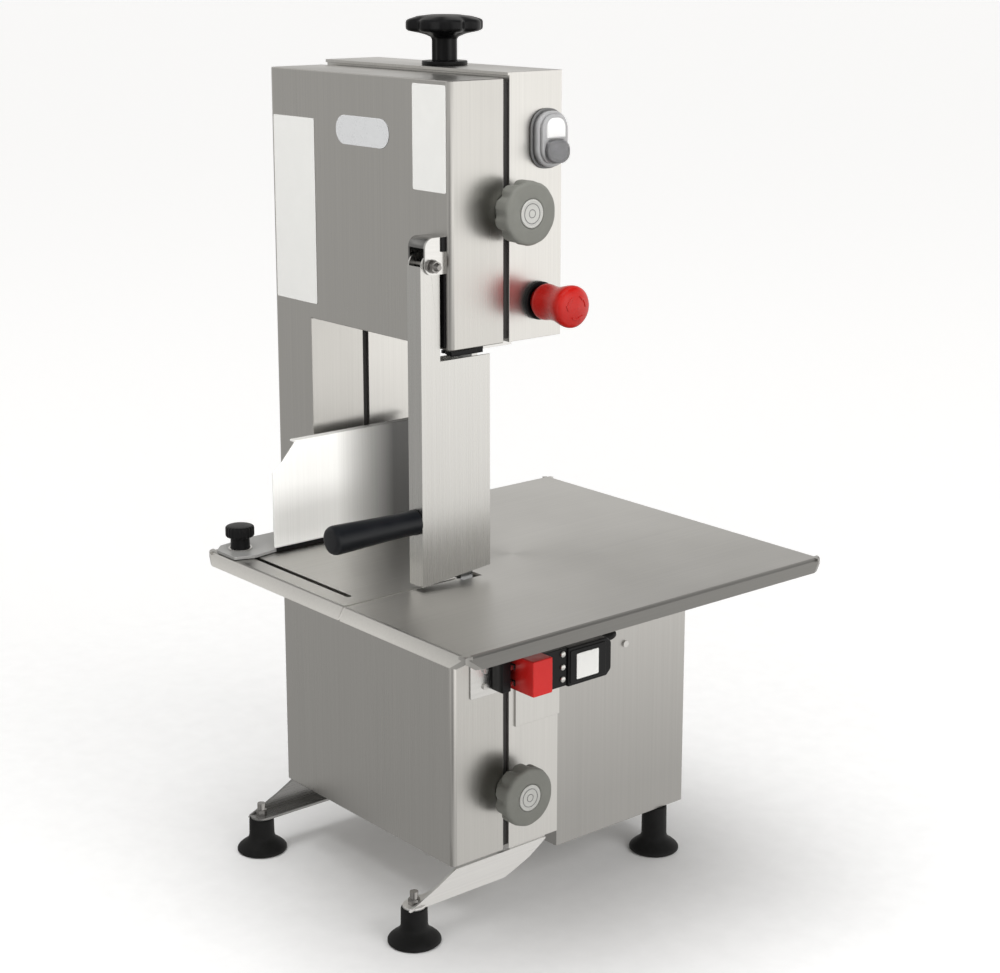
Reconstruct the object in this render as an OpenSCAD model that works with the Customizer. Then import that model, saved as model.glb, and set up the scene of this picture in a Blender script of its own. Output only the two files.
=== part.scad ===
// Counter-top bone band saw: stainless C-shaped frame, two band wheels, sliding fence,
// hanging pusher arm, table on rails, motor case behind the lower wheel.
// Every module is drawn from the body's lower right front corner, then shifted to the frame origin.

/* [Body] */
// Width of the body across the two wheels
body_w = 279; // [240:1:320]
// Height of the front door
door_h = 735; // [680:1:800]
// Depth of the front door
door_d = 62; // [50:1:80]
// Front face to the rear housing's front edge
seam_y = 68.5; // [60:1:90]
// Front face to the rear housing's back
rear_y = 130.5; // [110:1:160]
// Underside of the upper box
throat_top = 497; // [440:0.5:520]
// Top of the lower box
lower_h = 259; // [230:1:260]
// Width of the column
column_w = 62; // [45:0.5:70]
// Height of the feet below the body
foot_h = 65.5; // [50:1:80]
// Sheet thickness of the body
sheet = 2; // [1.5:0.5:3]

/* [Wheels and band] */
// Outer diameter of both band wheels
wheel_d = 214.4; // [200:0.2:230]
// Wheel centre, left of the right face
wheel_x = -127; // [-140:1:-120]
// Upper wheel centre height
upper_z = 620; // [600:1:630]
// Band loop length
band_l = 1650; // [1600:10:1750]
// Band width
band_w = 16; // [13:1:20]
// Band thickness
band_t = 0.5; // [0.4:0.1:0.7]
// Tooth spacing
tooth_p = 6.4; // [4:0.2:10]

/* [Table] */
// Table top surface height above the body's bottom
table_z = 277; // [255:1:280]
// Table sheet thickness
table_t = 2.5; // [2:0.5:4]
// Table left edge
table_x0 = -249; // [-270:1:-230]
// Table right edge
table_x1 = 158.5; // [120:0.5:180]
// Table front edge
table_y0 = -113; // [-130:1:-90]
// Table back edge
table_y1 = 336; // [300:1:360]
// Depth of the folded rim
rim_h = 11.5; // [8:0.5:20]
// Outward slope of the rim
rim_s = 6; // [3:0.5:10]

/* [Pusher arm] */
// Pivot height
pivot_z = 574; // [550:1:580]
// Pivot distance in front of the door
pivot_y = -14; // [-20:0.5:-12]
// Channel width
arm_w = 19.7; // [18:1:26]
// Channel sheet
arm_t = 1.8; // [1.5:0.1:3]
// Channel centre
arm_x = -19.25; // [-24:0.25:-15]

/* [Fence] */
// Fence plate position
fence_x = -194; // [-200:1:-180]
// Fence top height
fence_top = 383; // [340:1:400]
// Fence slot line
slot_y = -86; // [-92:1:-80]

/* [Resolution] */
// Facet setting for round parts
round_fn = 64; // [32:8:128]

/* [Hidden] */
$fn = round_fn;
ox = 68;
oy = -107.75;
seam_gap = seam_y - door_d;
wheel_r = wheel_d / 2;
band_r = wheel_r + 0.3;
centre_d = (band_l - 2 * PI * (band_r + band_t / 2)) / 2;
lower_z = upper_z - centre_d;
run_r = wheel_x + band_r;
run_l = wheel_x - band_r;
band_y = 24;
lock_y = 68.5;
lock_at = [62.5, 617.5];
rear_top = 740;
wheel_y = 3;
hinge_x = -284;
hinge_y = 65;
hinge_at = [90, 365, 640];
foot_at = [[-10, -39, -30], [-269, -39, -30], [-10, 274, -17], [-269, 274, -17]];
screw_y = 96;
stop_z = 532;
handle_z = 340;

module at_corner() {
    translate([ox, oy, foot_h]) children();
}

// Solid block from low corner to high corner.
module block(lo, hi) {
    translate(lo) cube(hi - lo);
}

// Cylinder along X from x0 to x1.
module rod_x(x0, x1, y, z, r) {
    translate([x0, y, z]) rotate([0, 90, 0]) cylinder(h = x1 - x0, r = r);
}

// Cylinder along Y from y0 to y1.
module rod_y(y0, y1, x, z, r) {
    translate([x, y0, z]) rotate([-90, 0, 0]) cylinder(h = y1 - y0, r = r);
}

// Cylinder along Z from z0 to z1.
module rod_z(z0, z1, x, y, r) {
    translate([x, y, z0]) cylinder(h = z1 - z0, r = r);
}

// C outline in the XZ plane, drawn as X and Y, inset by i.
module c_outline(i, top) {
    polygon([
        [-body_w + i, i], [-i, i], [-i, lower_h - i], [-body_w + column_w - i, lower_h - i],
        [-body_w + column_w - i, throat_top + i], [-i, throat_top + i], [-i, top - i],
        [-body_w + i, top - i]
    ]);
}

// Extrude an XZ outline along Y from y0 to y1.
module along_y(y0, y1) {
    translate([0, y1, 0]) rotate([90, 0, 0]) linear_extrude(height = y1 - y0) children();
}

// Extrude a YZ outline along X from x0 to x1.
module along_x(x0, x1) {
    translate([x0, 0, 0]) rotate([90, 0, 90]) linear_extrude(height = x1 - x0) children();
}

// Round-ended slot outline from a to b, radius r, along one axis.
module slot_outline(a, b, r) {
    translate(a) circle(r = r);
    translate(b) circle(r = r);
    if (a[0] == b[0]) translate([a[0] - r, a[1]]) square([2 * r, b[1] - a[1]]);
    else translate([a[0], a[1] - r]) square([b[0] - a[0], 2 * r]);
}

module rear_housing() {
    color("silver") at_corner() {
        housing_shell();
        // welded inserts for the clamp studs
        for (z = lock_at) {
            difference() {
                rod_x(-14, 0, lock_y, z, 6);
                rod_x(-15, 1, lock_y, z, 4.05);
            }
        }
    }
}

module housing_shell() {
    difference() {
        union() {
            difference() {
                along_y(seam_y, rear_y) c_outline(0, rear_top);
                along_y(seam_y + 3, rear_y - sheet) c_outline(sheet, rear_top);
            }
            // folded lip along the top front edge
            block([-body_w, seam_y - 2, rear_top - 3], [0, seam_y + 1, rear_top]);
        }
        // slot for the upper axle
        along_y(seam_y - 1, seam_y + 4)
            slot_outline([wheel_x, upper_z - 14], [wheel_x, upper_z + 4], 12.5);
        // holes for the motor shaft
        rod_y(seam_y - 1, seam_y + 4, wheel_x, lower_z, 20);
        rod_y(rear_y - sheet - 1, rear_y + 1, wheel_x, lower_z, 30);
        // tension screw hole
        rod_z(rear_top - sheet - 1, rear_top + 1, wheel_x, screw_y, 7);
        // lock stud inserts
        for (z = lock_at) {
            rod_x(-sheet - 1, 1, lock_y, z, 6);
            block([-16, seam_y - 1, z - 8], [-sheet, seam_y + 4, z + 8]);
        }
        // push-button and stop-button holes
        block([-sheet - 1, 100, 656.5], [1, 124, 700.5]);
        rod_x(-sheet - 1, 1, 103, stop_z, 11.06);
        // cable exit to the motor case
        rod_y(rear_y - sheet - 1, rear_y + 1, -30, 60, 9);
    }
}

module seam_gasket() {
    color("#1b1b1b") at_corner() difference() {
        along_y(seam_y - 6.4, seam_y) c_outline(3, door_h);
        along_y(seam_y - 8, seam_y + 1) c_outline(9, door_h);
        for (z = lock_at) {
            block([-14, seam_y - 8, z - 6.4], [1, seam_y + 1, z + 6.4]);
        }
    }
}

module door() {
    color("silver") at_corner() difference() {
        intersection() {
            along_y(0, door_d) c_outline(0, door_h);
            linear_extrude(height = door_h) {
                slot_outline([-body_w + 5, 5], [-5, 5], 5);
                translate([-body_w, 5]) square([body_w, door_d - 5]);
            }
        }
        along_y(sheet, door_d + 1) c_outline(sheet, door_h);
        // band openings in the throat walls, open to the back edge
        block([run_r - 7, band_y - 5, throat_top - 1], [run_r + 7, door_d + 1, throat_top + sheet + 1]);
        block([run_r - 7, band_y - 5, lower_h - sheet - 1], [run_r + 7, door_d + 1, lower_h + 1]);
    }
}

module motor_box() {
    color("silver") at_corner() {
        motor_cover();
        motor_floor();
    }
}

module motor_floor() {
    difference() {
        block([-276.5, rear_y + 1.7, -17], [-2.5, 302.5, -15]);
        for (x = [-269, -10]) {
            rod_z(-18, -14, x, 274, 4.1);
        }
        for (i = [0 : 5]) {
            block([-190 + i * 22, 170, -18], [-182 + i * 22, 240, -14]);
        }
    }
}

module motor_cover() {
    difference() {
        block([-278, rear_y + 0.2, -17], [-1, 304, 255]);
        block([-276.5, rear_y + 1.7, -18], [-2.5, 302.5, 253.5]);
        // shaft and cable openings toward the housing
        rod_y(rear_y - 1, rear_y + 3, wheel_x, lower_z, 72);
        rod_y(rear_y - 1, rear_y + 3, -30, 60, 9);
        // rear louvres
        for (i = [0 : 6]) {
            block([-200, 301, 60 + i * 16], [-80, 305, 66 + i * 16]);
        }
        // cable gland hole
        rod_x(-4, 0, 196, 192, 4.1);
    }
}

module hinge_leaves() {
    color("gainsboro") at_corner() for (z = hinge_at) {
        difference() {
            union() {
                block([-281.5, 71, z - 32], [-279, 97, z + 32]);
                block([-284, hinge_y, z - 32], [-281.5, 73, z - 11]);
                block([-284, hinge_y, z + 11], [-281.5, 73, z + 32]);
                rod_z(z - 32, z - 11, hinge_x, hinge_y, 5);
                rod_z(z + 11, z + 32, hinge_x, hinge_y, 5);
            }
            block([-292, 58, z - 11], [-281.5, 75, z + 11]);
        }
        rod_z(z - 34, z + 34, hinge_x, hinge_y, 2.5);
        for (dz = [-22, 22]) {
            translate([-281.3, 85, z + dz]) rotate([0, -90, 0]) cylinder(h = 1.6, r1 = 4, r2 = 2.6);
        }
    }
}

module door_hinge_leaves() {
    color("gainsboro") at_corner() for (z = hinge_at) {
        difference() {
            union() {
                block([-281.5, 33, z - 32], [-279, 59.5, z + 32]);
                block([-284, 57.5, z - 10.5], [-281.5, hinge_y, z + 10.5]);
                rod_z(z - 10.5, z + 10.5, hinge_x, hinge_y, 5);
            }
            rod_z(z - 33, z + 33, hinge_x, hinge_y, 2.55);
        }
        for (dz = [-22, 22]) {
            translate([-281.3, 46, z + dz]) rotate([0, -90, 0]) cylinder(h = 1.6, r1 = 4, r2 = 2.6);
        }
    }
}

// Side outline of one leg: deep under the body, reaching forward to the foot.
module leg_side() {
    polygon([
        [117, -3], [5, -3], [-15, -13.5], [-40, -24.5], [-48, -27.6], [-50, -30], [64, -30], [77, -25.6],
        [96, -18], [109, -10], [115, -6], [117, -4.5]
    ]);
}

module leg_brackets() {
    color("silver") at_corner() for (s = [0, 1]) {
        translate([s * -body_w, 0, 0]) mirror([s, 0, 0]) difference() {
            union() {
                along_x(-4, -1.5) leg_side();
                // foot plate with a round nose
                block([-21, -39, -30], [-3, 40, -27.5]);
                rod_z(-30, -27.5, -10, -39, 11);
                block([-26, 72, -3], [-3, 117, 0]);
            }
            rod_z(-35, -26, -10, -39, 4.1);
        }
    }
}

module rubber_feet() {
    color("#1a1a1a") at_corner() for (p = foot_at) {
        translate([p[0], p[1], -foot_h]) difference() {
            rotate_extrude() polygon([
                [0, 0], [22.5, 0], [25.5, 1.5], [25.5, 3.5], [22, 7], [16.5, 10], [13.4, 13], [12.6, 17],
                [12.4, foot_h + p[2]], [0, foot_h + p[2]]
            ]);
            translate([0, 0, -1]) cylinder(h = 5, r = 14);
            translate([0, 0, 10]) cylinder(h = 60, r = 4);
        }
    }
}

module foot_studs() {
    color("silver") at_corner() for (p = foot_at) {
        top = p[2] + (p[2] == -17 ? 2 : 2.5);
        rod_z(-foot_h + 10, top + 13, p[0], p[1], 4);
        translate([p[0], p[1], top]) cylinder(h = 6, r = 5.8, $fn = 6);
    }
}

// Rim profile: the top sheet bends and slopes down to the outer edge.
module rim_profile() {
    polygon([
        [0, -rim_h], [rim_s - 1, -2.4], [rim_s + 0.2, -0.8], [rim_s + 2, 0], [rim_s + 6, 0],
        [rim_s + 6, -table_t], [rim_s + 2.8, -table_t], [rim_s + 1.8, -3.4], [2.6, -rim_h]
    ]);
}

// Plan of the table with its rims cut back at the corners.
module table_plan() {
    c = rim_s + 14;
    w = table_x1 - table_x0;
    d = table_y1 - table_y0;
    polygon([
        [c, 0], [w - c, 0], [w - rim_s, rim_s], [w, c], [w, d - c], [w - rim_s, d - rim_s],
        [w - c, d], [c, d], [rim_s, d - rim_s], [0, d - c], [0, c], [rim_s, rim_s]
    ]);
}

module table() {
    tw = table_x1 - table_x0;
    td = table_y1 - table_y0;
    color("silver") at_corner() difference() {
        translate([table_x0, table_y0, table_z]) intersection() {
            union() {
                translate([rim_s + 2, rim_s + 2, -table_t])
                    cube([tw - 2 * rim_s - 4, td - 2 * rim_s - 4, table_t]);
                translate([0, td, 0]) rotate([90, 0, 0]) linear_extrude(height = td) rim_profile();
                translate([tw, 0, 0]) rotate([90, 0, 180]) linear_extrude(height = td) rim_profile();
                rotate([90, 0, 90]) linear_extrude(height = tw) rim_profile();
                translate([tw, td, 0]) rotate([90, 0, -90]) linear_extrude(height = tw) rim_profile();
            }
            translate([0, 0, -rim_h - 1]) linear_extrude(height = rim_h + 2) table_plan();
        }
        // column notch, open to the left
        block([table_x0 - 1, -22, table_z - 20], [-body_w + column_w + 4, rear_y + 5, table_z + 1]);
        // band slit from the front edge
        block([run_r - 1.25, table_y0 - 1, table_z - 20], [run_r + 1.75, band_y + 22, table_z + 1]);
        block([run_r - 7, band_y - 1, table_z - 20], [run_r + 7.5, band_y + 22, table_z + 1]);
        // fence slot
        translate([0, 0, table_z - 10]) linear_extrude(height = 12)
            slot_outline([-233, slot_y], [-41, slot_y], 2.7);
    }
}

module table_rails() {
    color("silver") at_corner() {
        for (x = [-205, -70]) {
            block([x, 76, lower_h], [x + 24, 128, lower_h + 3]);
            block([x, -60, lower_h + 3], [x + 3, 290, table_z - table_t - 3]);
            block([x, -60, table_z - table_t - 3], [x + 24, 290, table_z - table_t]);
        }
        // closed channel under the fence slot
        difference() {
            block([-238, slot_y - 13, 261], [-31, slot_y + 13, table_z - table_t]);
            block([-236.5, slot_y - 11.5, 262.5], [-32.5, slot_y + 11.5, table_z]);
        }
    }
}

module fence() {
    color("silver") at_corner() {
        // plate with swept front corner
        along_x(fence_x - 1, fence_x + 1) difference() {
            polygon([
                [-64, table_z + 5], [-64, fence_top - 26], [-60, fence_top - 22], [-53, fence_top - 17],
                [-45, fence_top - 8], [-38, fence_top], [118, fence_top], [118, table_z + 5]
            ]);
        }
        // folded top lip
        block([fence_x - 8, -38, fence_top], [fence_x + 1, 118, fence_top + 2]);
        // foot strip along the bottom
        block([fence_x - 14, -70, table_z + 0.5], [fence_x - 1, 118, table_z + 3.5]);
        block([fence_x - 4, -60, table_z + 3.5], [fence_x - 1, 118, table_z + 6]);
        fence_tab();
    }
}

module fence_tab() {
    difference() {
        translate([0, 0, table_z + 0.5]) linear_extrude(height = 3) polygon([
            [-240, -96], [-229, -107], [-198, -107], [-190.5, -88], [-195, -62], [-195, -28], [-246, -28],
            [-246, -62]
        ]);
        rod_z(table_z - 1, table_z + 6, -220, slot_y, 3.05);
    }
}

module fence_nut() {
    color("gainsboro") at_corner() difference() {
        block([-229, slot_y - 10, table_z - table_t - 7], [-211, slot_y + 10, table_z - table_t - 1]);
        rod_z(table_z - 20, table_z, -220, slot_y, 2.55);
    }
}

module fence_knob() {
    color("#1c1c1c") at_corner() translate([-220, slot_y, table_z]) {
        translate([0, 0, 3.6]) cylinder(h = 1.4, r = 10);
        translate([0, 0, 5]) cylinder(h = 12, r = 9.5);
        difference() {
            translate([0, 0, 16]) cylinder(h = 10.5, r = 14);
            for (a = [0 : 60 : 300]) {
                rotate([0, 0, a + 30]) translate([16.8, 0, 15]) cylinder(h = 13, r = 5);
            }
        }
        translate([0, 0, -13]) cylinder(h = 17, r = 2.5);
        translate([0, 0, -13]) cylinder(h = 2, r = 4.4);
    }
}

// Closed band: two half rings and two toothed straight runs.
module band() {
    color("gainsboro") at_corner() {
        for (k = [0, 1]) {
            translate([wheel_x, band_y + 3, k == 0 ? upper_z : lower_z]) rotate([-90, 0, 0]) rotate([0, 0, k * 180 + 180])
                rotate_extrude(angle = 180) translate([band_r, 0]) square([band_t, band_w - 3]);
        }
        for (x = [run_l - band_t, run_r]) {
            along_x(x, x + band_t) polygon(concat(
                [[band_y + band_w, upper_z], [band_y + band_w, lower_z], [band_y + 3, lower_z]],
                [for (i = [0 : floor(centre_d / tooth_p) - 1]) each [
                    [band_y, lower_z + i * tooth_p + 1.4], [band_y + 2.4, lower_z + i * tooth_p + 2.4],
                    [band_y + 2.4, lower_z + i * tooth_p + 4.4]]],
                [[band_y + 3, upper_z]]
            ));
        }
    }
}

// Band wheel: rim with a rear lip, dished web with windows, hub.
module wheel_body(hub_r, bore_r) {
    translate([0, wheel_y, 0]) rotate([-90, 0, 0]) difference() {
        rotate_extrude() polygon([
            [bore_r, 22], [hub_r, 22], [hub_r, 34], [wheel_r - 12, 32], [wheel_r - 9, 25],
            [wheel_r, 24], [wheel_r, 38], [wheel_r + 2.6, 38.4], [wheel_r + 2.6, 41.5], [wheel_r - 9, 41.5],
            [wheel_r - 14, 40], [hub_r, 40], [hub_r, 46], [bore_r, 46]
        ]);
        for (a = [0 : 60 : 300]) {
            rotate([0, 0, a]) translate([64, 0, 20]) cylinder(h = 30, r = 18);
        }
    }
}

module lower_wheel() {
    color("#b9bab8") at_corner() translate([wheel_x, 0, lower_z]) difference() {
        wheel_body(30, 9.5);
        translate([-3, 20, 8]) cube([6, 33, 4.3]);
    }
}

module motor_shaft() {
    color("gainsboro") at_corner() translate([wheel_x, 0, lower_z]) rotate([-90, 0, 0]) {
        difference() {
            union() {
                translate([0, 0, 11]) cylinder(h = 14, r = 6);
                translate([0, 0, 25]) cylinder(h = 26, r = 9.5);
                translate([0, 0, 51]) cylinder(h = 124, r = 12);
            }
            translate([-3, -9.6, 26]) cube([6, 3.6, 22]);
        }
        // drive key
        translate([-3, -12.3, 26]) cube([6, 6.3, 22]);
    }
}

module lower_wheel_nut() {
    color("gainsboro") at_corner() translate([wheel_x, 0, lower_z]) rotate([-90, 0, 0]) difference() {
        union() {
            translate([0, 0, 22.6]) cylinder(h = 2.4, r = 15);
            translate([0, 0, 14]) cylinder(h = 8.6, r = 11, $fn = 6);
        }
        translate([0, 0, 5]) cylinder(h = 20, r = 6);
    }
}

module motor_body() {
    color("#5f6468") at_corner() translate([wheel_x, 0, lower_z]) rotate([-90, 0, 0]) difference() {
        union() {
            translate([0, 0, rear_y + 8]) cylinder(h = 20, r = 48);
            translate([0, 0, 150]) cylinder(h = 116, r = 62);
            for (a = [0 : 15 : 345]) {
                rotate([0, 0, a]) translate([60, -1.2, 150]) cube([8, 2.4, 104]);
            }
            translate([0, 0, 266]) cylinder(h = 22, r1 = 66, r2 = 60);
        }
        translate([0, 0, 120]) cylinder(h = 60, r = 12.06);
        for (a = [0 : 45 : 315]) {
            rotate([0, 0, a]) translate([38, 0, 280]) cylinder(h = 10, r = 9);
        }
    }
}

module motor_flange() {
    color("#6d7276") at_corner() translate([wheel_x, 0, lower_z]) rotate([-90, 0, 0]) difference() {
        union() {
            translate([0, 0, rear_y + 0.3]) cylinder(h = 7.7, r = 69);
            translate([0, 0, 120]) cylinder(h = 14, r = 29.5);
        }
        translate([0, 0, 110]) cylinder(h = 40, r = 12.06);
        for (a = [45 : 90 : 315]) {
            rotate([0, 0, a]) translate([57, 0, 125]) cylinder(h = 20, r = 4);
        }
    }
}

module upper_wheel() {
    color("#b9bab8") at_corner() translate([wheel_x, 0, upper_z]) wheel_body(28, 16);
}

module wheel_bearings() {
    color("#9a9c9e") at_corner() translate([wheel_x, 0, upper_z]) rotate([-90, 0, 0])
        for (y = [26, 38]) {
            translate([0, 0, y]) difference() {
                cylinder(h = 10, r = 16);
                translate([0, 0, -1]) cylinder(h = 12, r = 8.55);
            }
        }
}

module upper_axle() {
    color("gainsboro") at_corner() translate([wheel_x, 0, upper_z]) rotate([-90, 0, 0]) {
        translate([0, 0, 20.5]) cylinder(h = 31.5, r = 8.5);
        translate([0, 0, 52]) cylinder(h = 24, r = 11);
        translate([0, 0, 76]) cylinder(h = 34, r = 9);
        // retaining ring
        translate([0, 0, 21.5]) cylinder(h = 3, r = 12.5);
    }
}

module tension_carriage() {
    color("#8f9294") at_corner() difference() {
        block([wheel_x - 28, 76, upper_z - 34], [wheel_x + 28, 110, upper_z + 34]);
        rod_y(70, 112, wheel_x, upper_z, 9);
        // blind screw bore above the axle
        rod_z(upper_z + 11, upper_z + 40, wheel_x, screw_y, 6.05);
        // guide grooves
        for (s = [-1, 1]) {
            block([wheel_x + s * 28 - 4.2, 86.8, upper_z - 40], [wheel_x + s * 28 + 4.2, 101.2, upper_z + 40]);
        }
    }
}

module carriage_guides() {
    color("#a3a6a8") at_corner() for (s = [-1, 1]) {
        block([wheel_x + s * 34 - (s > 0 ? 10 : 6), 87, upper_z - 70],
            [wheel_x + s * 34 + (s > 0 ? 6 : 10), 101, upper_z + 66]);
        block([wheel_x + s * 36 - 6, 73, upper_z - 70], [wheel_x + s * 36 + 6, 87, upper_z - 50]);
        block([wheel_x + s * 36 - 6, 73, upper_z + 46], [wheel_x + s * 36 + 6, 87, upper_z + 66]);
    }
}

module tension_screw() {
    color("gainsboro") at_corner() {
        rod_z(upper_z + 14, 752, wheel_x, screw_y, 6);
        rod_z(rear_top - sheet - 6, rear_top - sheet - 0.3, wheel_x, screw_y, 11);
    }
}

module knob_collar() {
    color("#1c1c1c") at_corner() difference() {
        rod_z(rear_top, rear_top + 4, wheel_x, screw_y, 21.5);
        rod_z(rear_top - 1, rear_top + 5, wheel_x, screw_y, 6.05);
    }
}

module tension_knob() {
    color("#1c1c1c") at_corner() translate([wheel_x, screw_y, 0]) difference() {
        union() {
            rod_z(745, 768, 0, 0, 12.5);
            rod_z(767, 772, 0, 0, 24.5);
            rod_z(771, 785, 0, 0, 37);
            translate([0, 0, 785]) cylinder(h = 2, r1 = 33, r2 = 28);
        }
        rod_z(740, 752, 0, 0, 6);
        for (a = [0 : 45 : 315]) {
            rotate([0, 0, a]) translate([41, 0, 770]) cylinder(h = 18, r = 8);
        }
    }
}

// Slotted plastic blocks that steady the band above and below the throat.
module band_guides() {
    color("#202020") at_corner() {
        difference() {
            union() {
                block([run_r - 4, 14, throat_top - 9], [run_r + 4.5, 50, throat_top - 3]);
                block([run_r - 4, 8, throat_top - 6], [run_r + 11, 37, throat_top - 3]);
            }
            block([run_r - 0.7, -4, throat_top - 20], [run_r + band_t + 0.7, band_y + 22, throat_top]);
        }
        difference() {
            union() {
                block([run_r - 11, 8, lower_h + 1.5], [run_r + 12, 100, lower_h + 8.5]);
                block([run_r - 11, seam_y + 1, lower_h], [run_r + 12, 100, lower_h + 2]);
            }
            block([run_r - 0.7, 0, lower_h], [run_r + band_t + 0.7, band_y + 22, lower_h + 10]);
        }
    }
}

// Arm of the upper guide, and the scraper that clears the lower wheel rim.
module guide_brackets() {
    color("silver") at_corner() {
        block([run_r - 4, 50, throat_top - 6], [run_r + 4.5, 74, throat_top - 3]);
        block([run_r - 4, seam_y + 1.5, throat_top - 6], [run_r + 4.5, 84, throat_top]);
        lo = lower_z + wheel_r;
        block([wheel_x - 9, 29, lo + 3.5], [wheel_x + 9, seam_y, lo + 5.9]);
        block([wheel_x - 9, 29, lo + 1], [wheel_x + 9, 39.5, lo + 3.5]);
        block([wheel_x - 9, seam_y - 2.5, lo - 18], [wheel_x + 9, seam_y, lo + 3.5]);
    }
}

module lock_stud(z) {
    rod_x(-12, 20, lock_y, z, 4);
}

// Lobed clamp knob with a recess for its cap.
module lock_knob(z) {
    translate([0, lock_y, z]) rotate([0, 90, 0]) difference() {
        union() {
            translate([0, 0, 0.4]) cylinder(h = 12, r = 17);
            translate([0, 0, 10]) cylinder(h = 3, r1 = 22, r2 = 29);
            translate([0, 0, 13]) cylinder(h = 16, r = 29);
            translate([0, 0, 29]) cylinder(h = 2, r1 = 29, r2 = 27);
        }
        for (a = [0 : 36 : 324]) {
            rotate([0, 0, a]) translate([33.6, 0, 5]) cylinder(h = 24, r = 6.5);
        }
        translate([0, 0, -1]) cylinder(h = 21.3, r = 4.05);
        translate([0, 0, 28]) cylinder(h = 5, r = 13.05);
    }
}

module knob_cap(z) {
    translate([0, lock_y, z]) rotate([0, 90, 0]) {
        translate([0, 0, 28]) cylinder(h = 3, r = 13);
        translate([0, 0, 31]) cylinder(h = 1, r1 = 13, r2 = 11.6);
    }
}

module upper_stud() {
    color("gainsboro") at_corner() lock_stud(lock_at[1]);
}

module lower_stud() {
    color("gainsboro") at_corner() lock_stud(lock_at[0]);
}

module upper_lock_knob() {
    color("#8d8d88") at_corner() lock_knob(lock_at[1]);
}

module lower_lock_knob() {
    color("#8d8d88") at_corner() lock_knob(lock_at[0]);
}

module upper_knob_cap() {
    color("#d9dad8") at_corner() knob_cap(lock_at[1]);
}

module lower_knob_cap() {
    color("#d9dad8") at_corner() knob_cap(lock_at[0]);
}

// Side outline of the bracket: rounded hood above, round nose at the pivot.
module cheek_outline() {
    translate([-22, pivot_z]) square([22, 16]);
    translate([-13, pivot_z + 16]) circle(r = 9);
    translate([-13, pivot_z + 16]) square([13, 9]);
    translate([-14, pivot_z]) circle(r = 8);
    translate([-14, pivot_z - 8]) square([14, 8]);
}

// Forked bracket: back plate on the door, two cheeks and a hood that rolls over the front.
module arm_bracket() {
    color("silver") at_corner() difference() {
        union() {
            block([arm_x - 12.2, -2, pivot_z - 8], [arm_x + 12.2, 0, pivot_z + 25]);
            for (x = [arm_x - 12.2, arm_x + 10.2]) {
                along_x(x, x + 2) cheek_outline();
            }
            along_x(arm_x - 12.2, arm_x + 12.2) difference() {
                intersection() {
                    cheek_outline();
                    translate([-22, pivot_z + 16]) square([22, 9]);
                }
                translate([-13, pivot_z + 16]) circle(r = 7);
                translate([-13, pivot_z + 15]) square([11, 8]);
            }
        }
        rod_x(arm_x - 14, arm_x + 14, pivot_y, pivot_z, 4.05);
    }
}

// Black strip on the door behind the arm, and the pad inside the bracket.
module arm_pad() {
    color("#181818") at_corner() {
        block([arm_x - 12.8, -1.5, 499], [arm_x + 12.8, 0, pivot_z - 8.3]);
        block([arm_x - 9.9, -3.2, pivot_z + 12.5], [arm_x + 9.9, -2, pivot_z + 22.5]);
        block([arm_x + 12.2, -4.5, pivot_z + 12], [arm_x + 13.6, 0, pivot_z + 25]);
    }
}

module pivot_bolt() {
    color("gainsboro") at_corner() {
        rod_x(arm_x - 15, arm_x + 15, pivot_y, pivot_z, 4);
        translate([arm_x - 15.5, pivot_y, pivot_z]) rotate([0, 90, 0]) cylinder(h = 3.3, r = 6.4, $fn = 6);
        translate([arm_x + 12.2, pivot_y, pivot_z]) rotate([0, 90, 0]) cylinder(h = 1.2, r = 6.2);
        translate([arm_x + 13.4, pivot_y, pivot_z]) rotate([0, 90, 0]) cylinder(h = 5, r = 5.6, $fn = 6);
        translate([arm_x + 18.4, pivot_y, pivot_z]) rotate([0, 90, 0]) cylinder(h = 4, r1 = 3.8, r2 = 2.4);
    }
}

module pusher_arm() {
    color("silver") at_corner() difference() {
        union() {
            // front web
            block([arm_x - arm_w / 2, -25.5, table_z + 2.8], [arm_x + arm_w / 2, -25.5 + arm_t, pivot_z]);
            // side flanges, narrow above and deep below
            for (x = [arm_x - arm_w / 2, arm_x + arm_w / 2 - arm_t]) {
                along_x(x, x + arm_t) union() {
                    polygon([
                        [-25.5, table_z + 2.8], [53.5, table_z + 9.8], [53.5, 487], [-4, 487], [-4, pivot_z],
                        [-25.5, pivot_z]
                    ]);
                    translate([pivot_y, pivot_z]) circle(r = 10.5);
                }
            }
        }
        rod_x(arm_x - 14, arm_x + 14, pivot_y, pivot_z, 4.05);
        rod_y(-30, -20, arm_x, handle_z, 4.02);
    }
}

module arm_handle() {
    color("#17181a") at_corner() {
        translate([arm_x, -25.5, handle_z]) rotate([90, 0, 0]) rotate_extrude() polygon([
            [0, 0], [11.5, 0], [12, 3], [11, 8], [11.3, 30], [12.2, 60], [13.2, 84], [13.4, 89], [12, 93],
            [9, 94.6], [0, 95]
        ]);
        rod_y(-26, -19, arm_x, handle_z, 4);
        translate([arm_x, -25.5 + arm_t, handle_z]) rotate([-90, 0, 0]) cylinder(h = 4, r = 6.5, $fn = 6);
    }
}

module stop_collar() {
    color("#161616") at_corner() difference() {
        union() {
            rod_x(0, 5, 103, stop_z, 17.6);
            rod_x(-18, 0, 103, stop_z, 11);
        }
        rod_x(1, 6, 103, stop_z, 15);
        rod_x(-20, 18, 103, stop_z, 8.05);
    }
}

module stop_stem() {
    color("#333333") at_corner() rod_x(-14, 30, 103, stop_z, 8);
}

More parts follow.
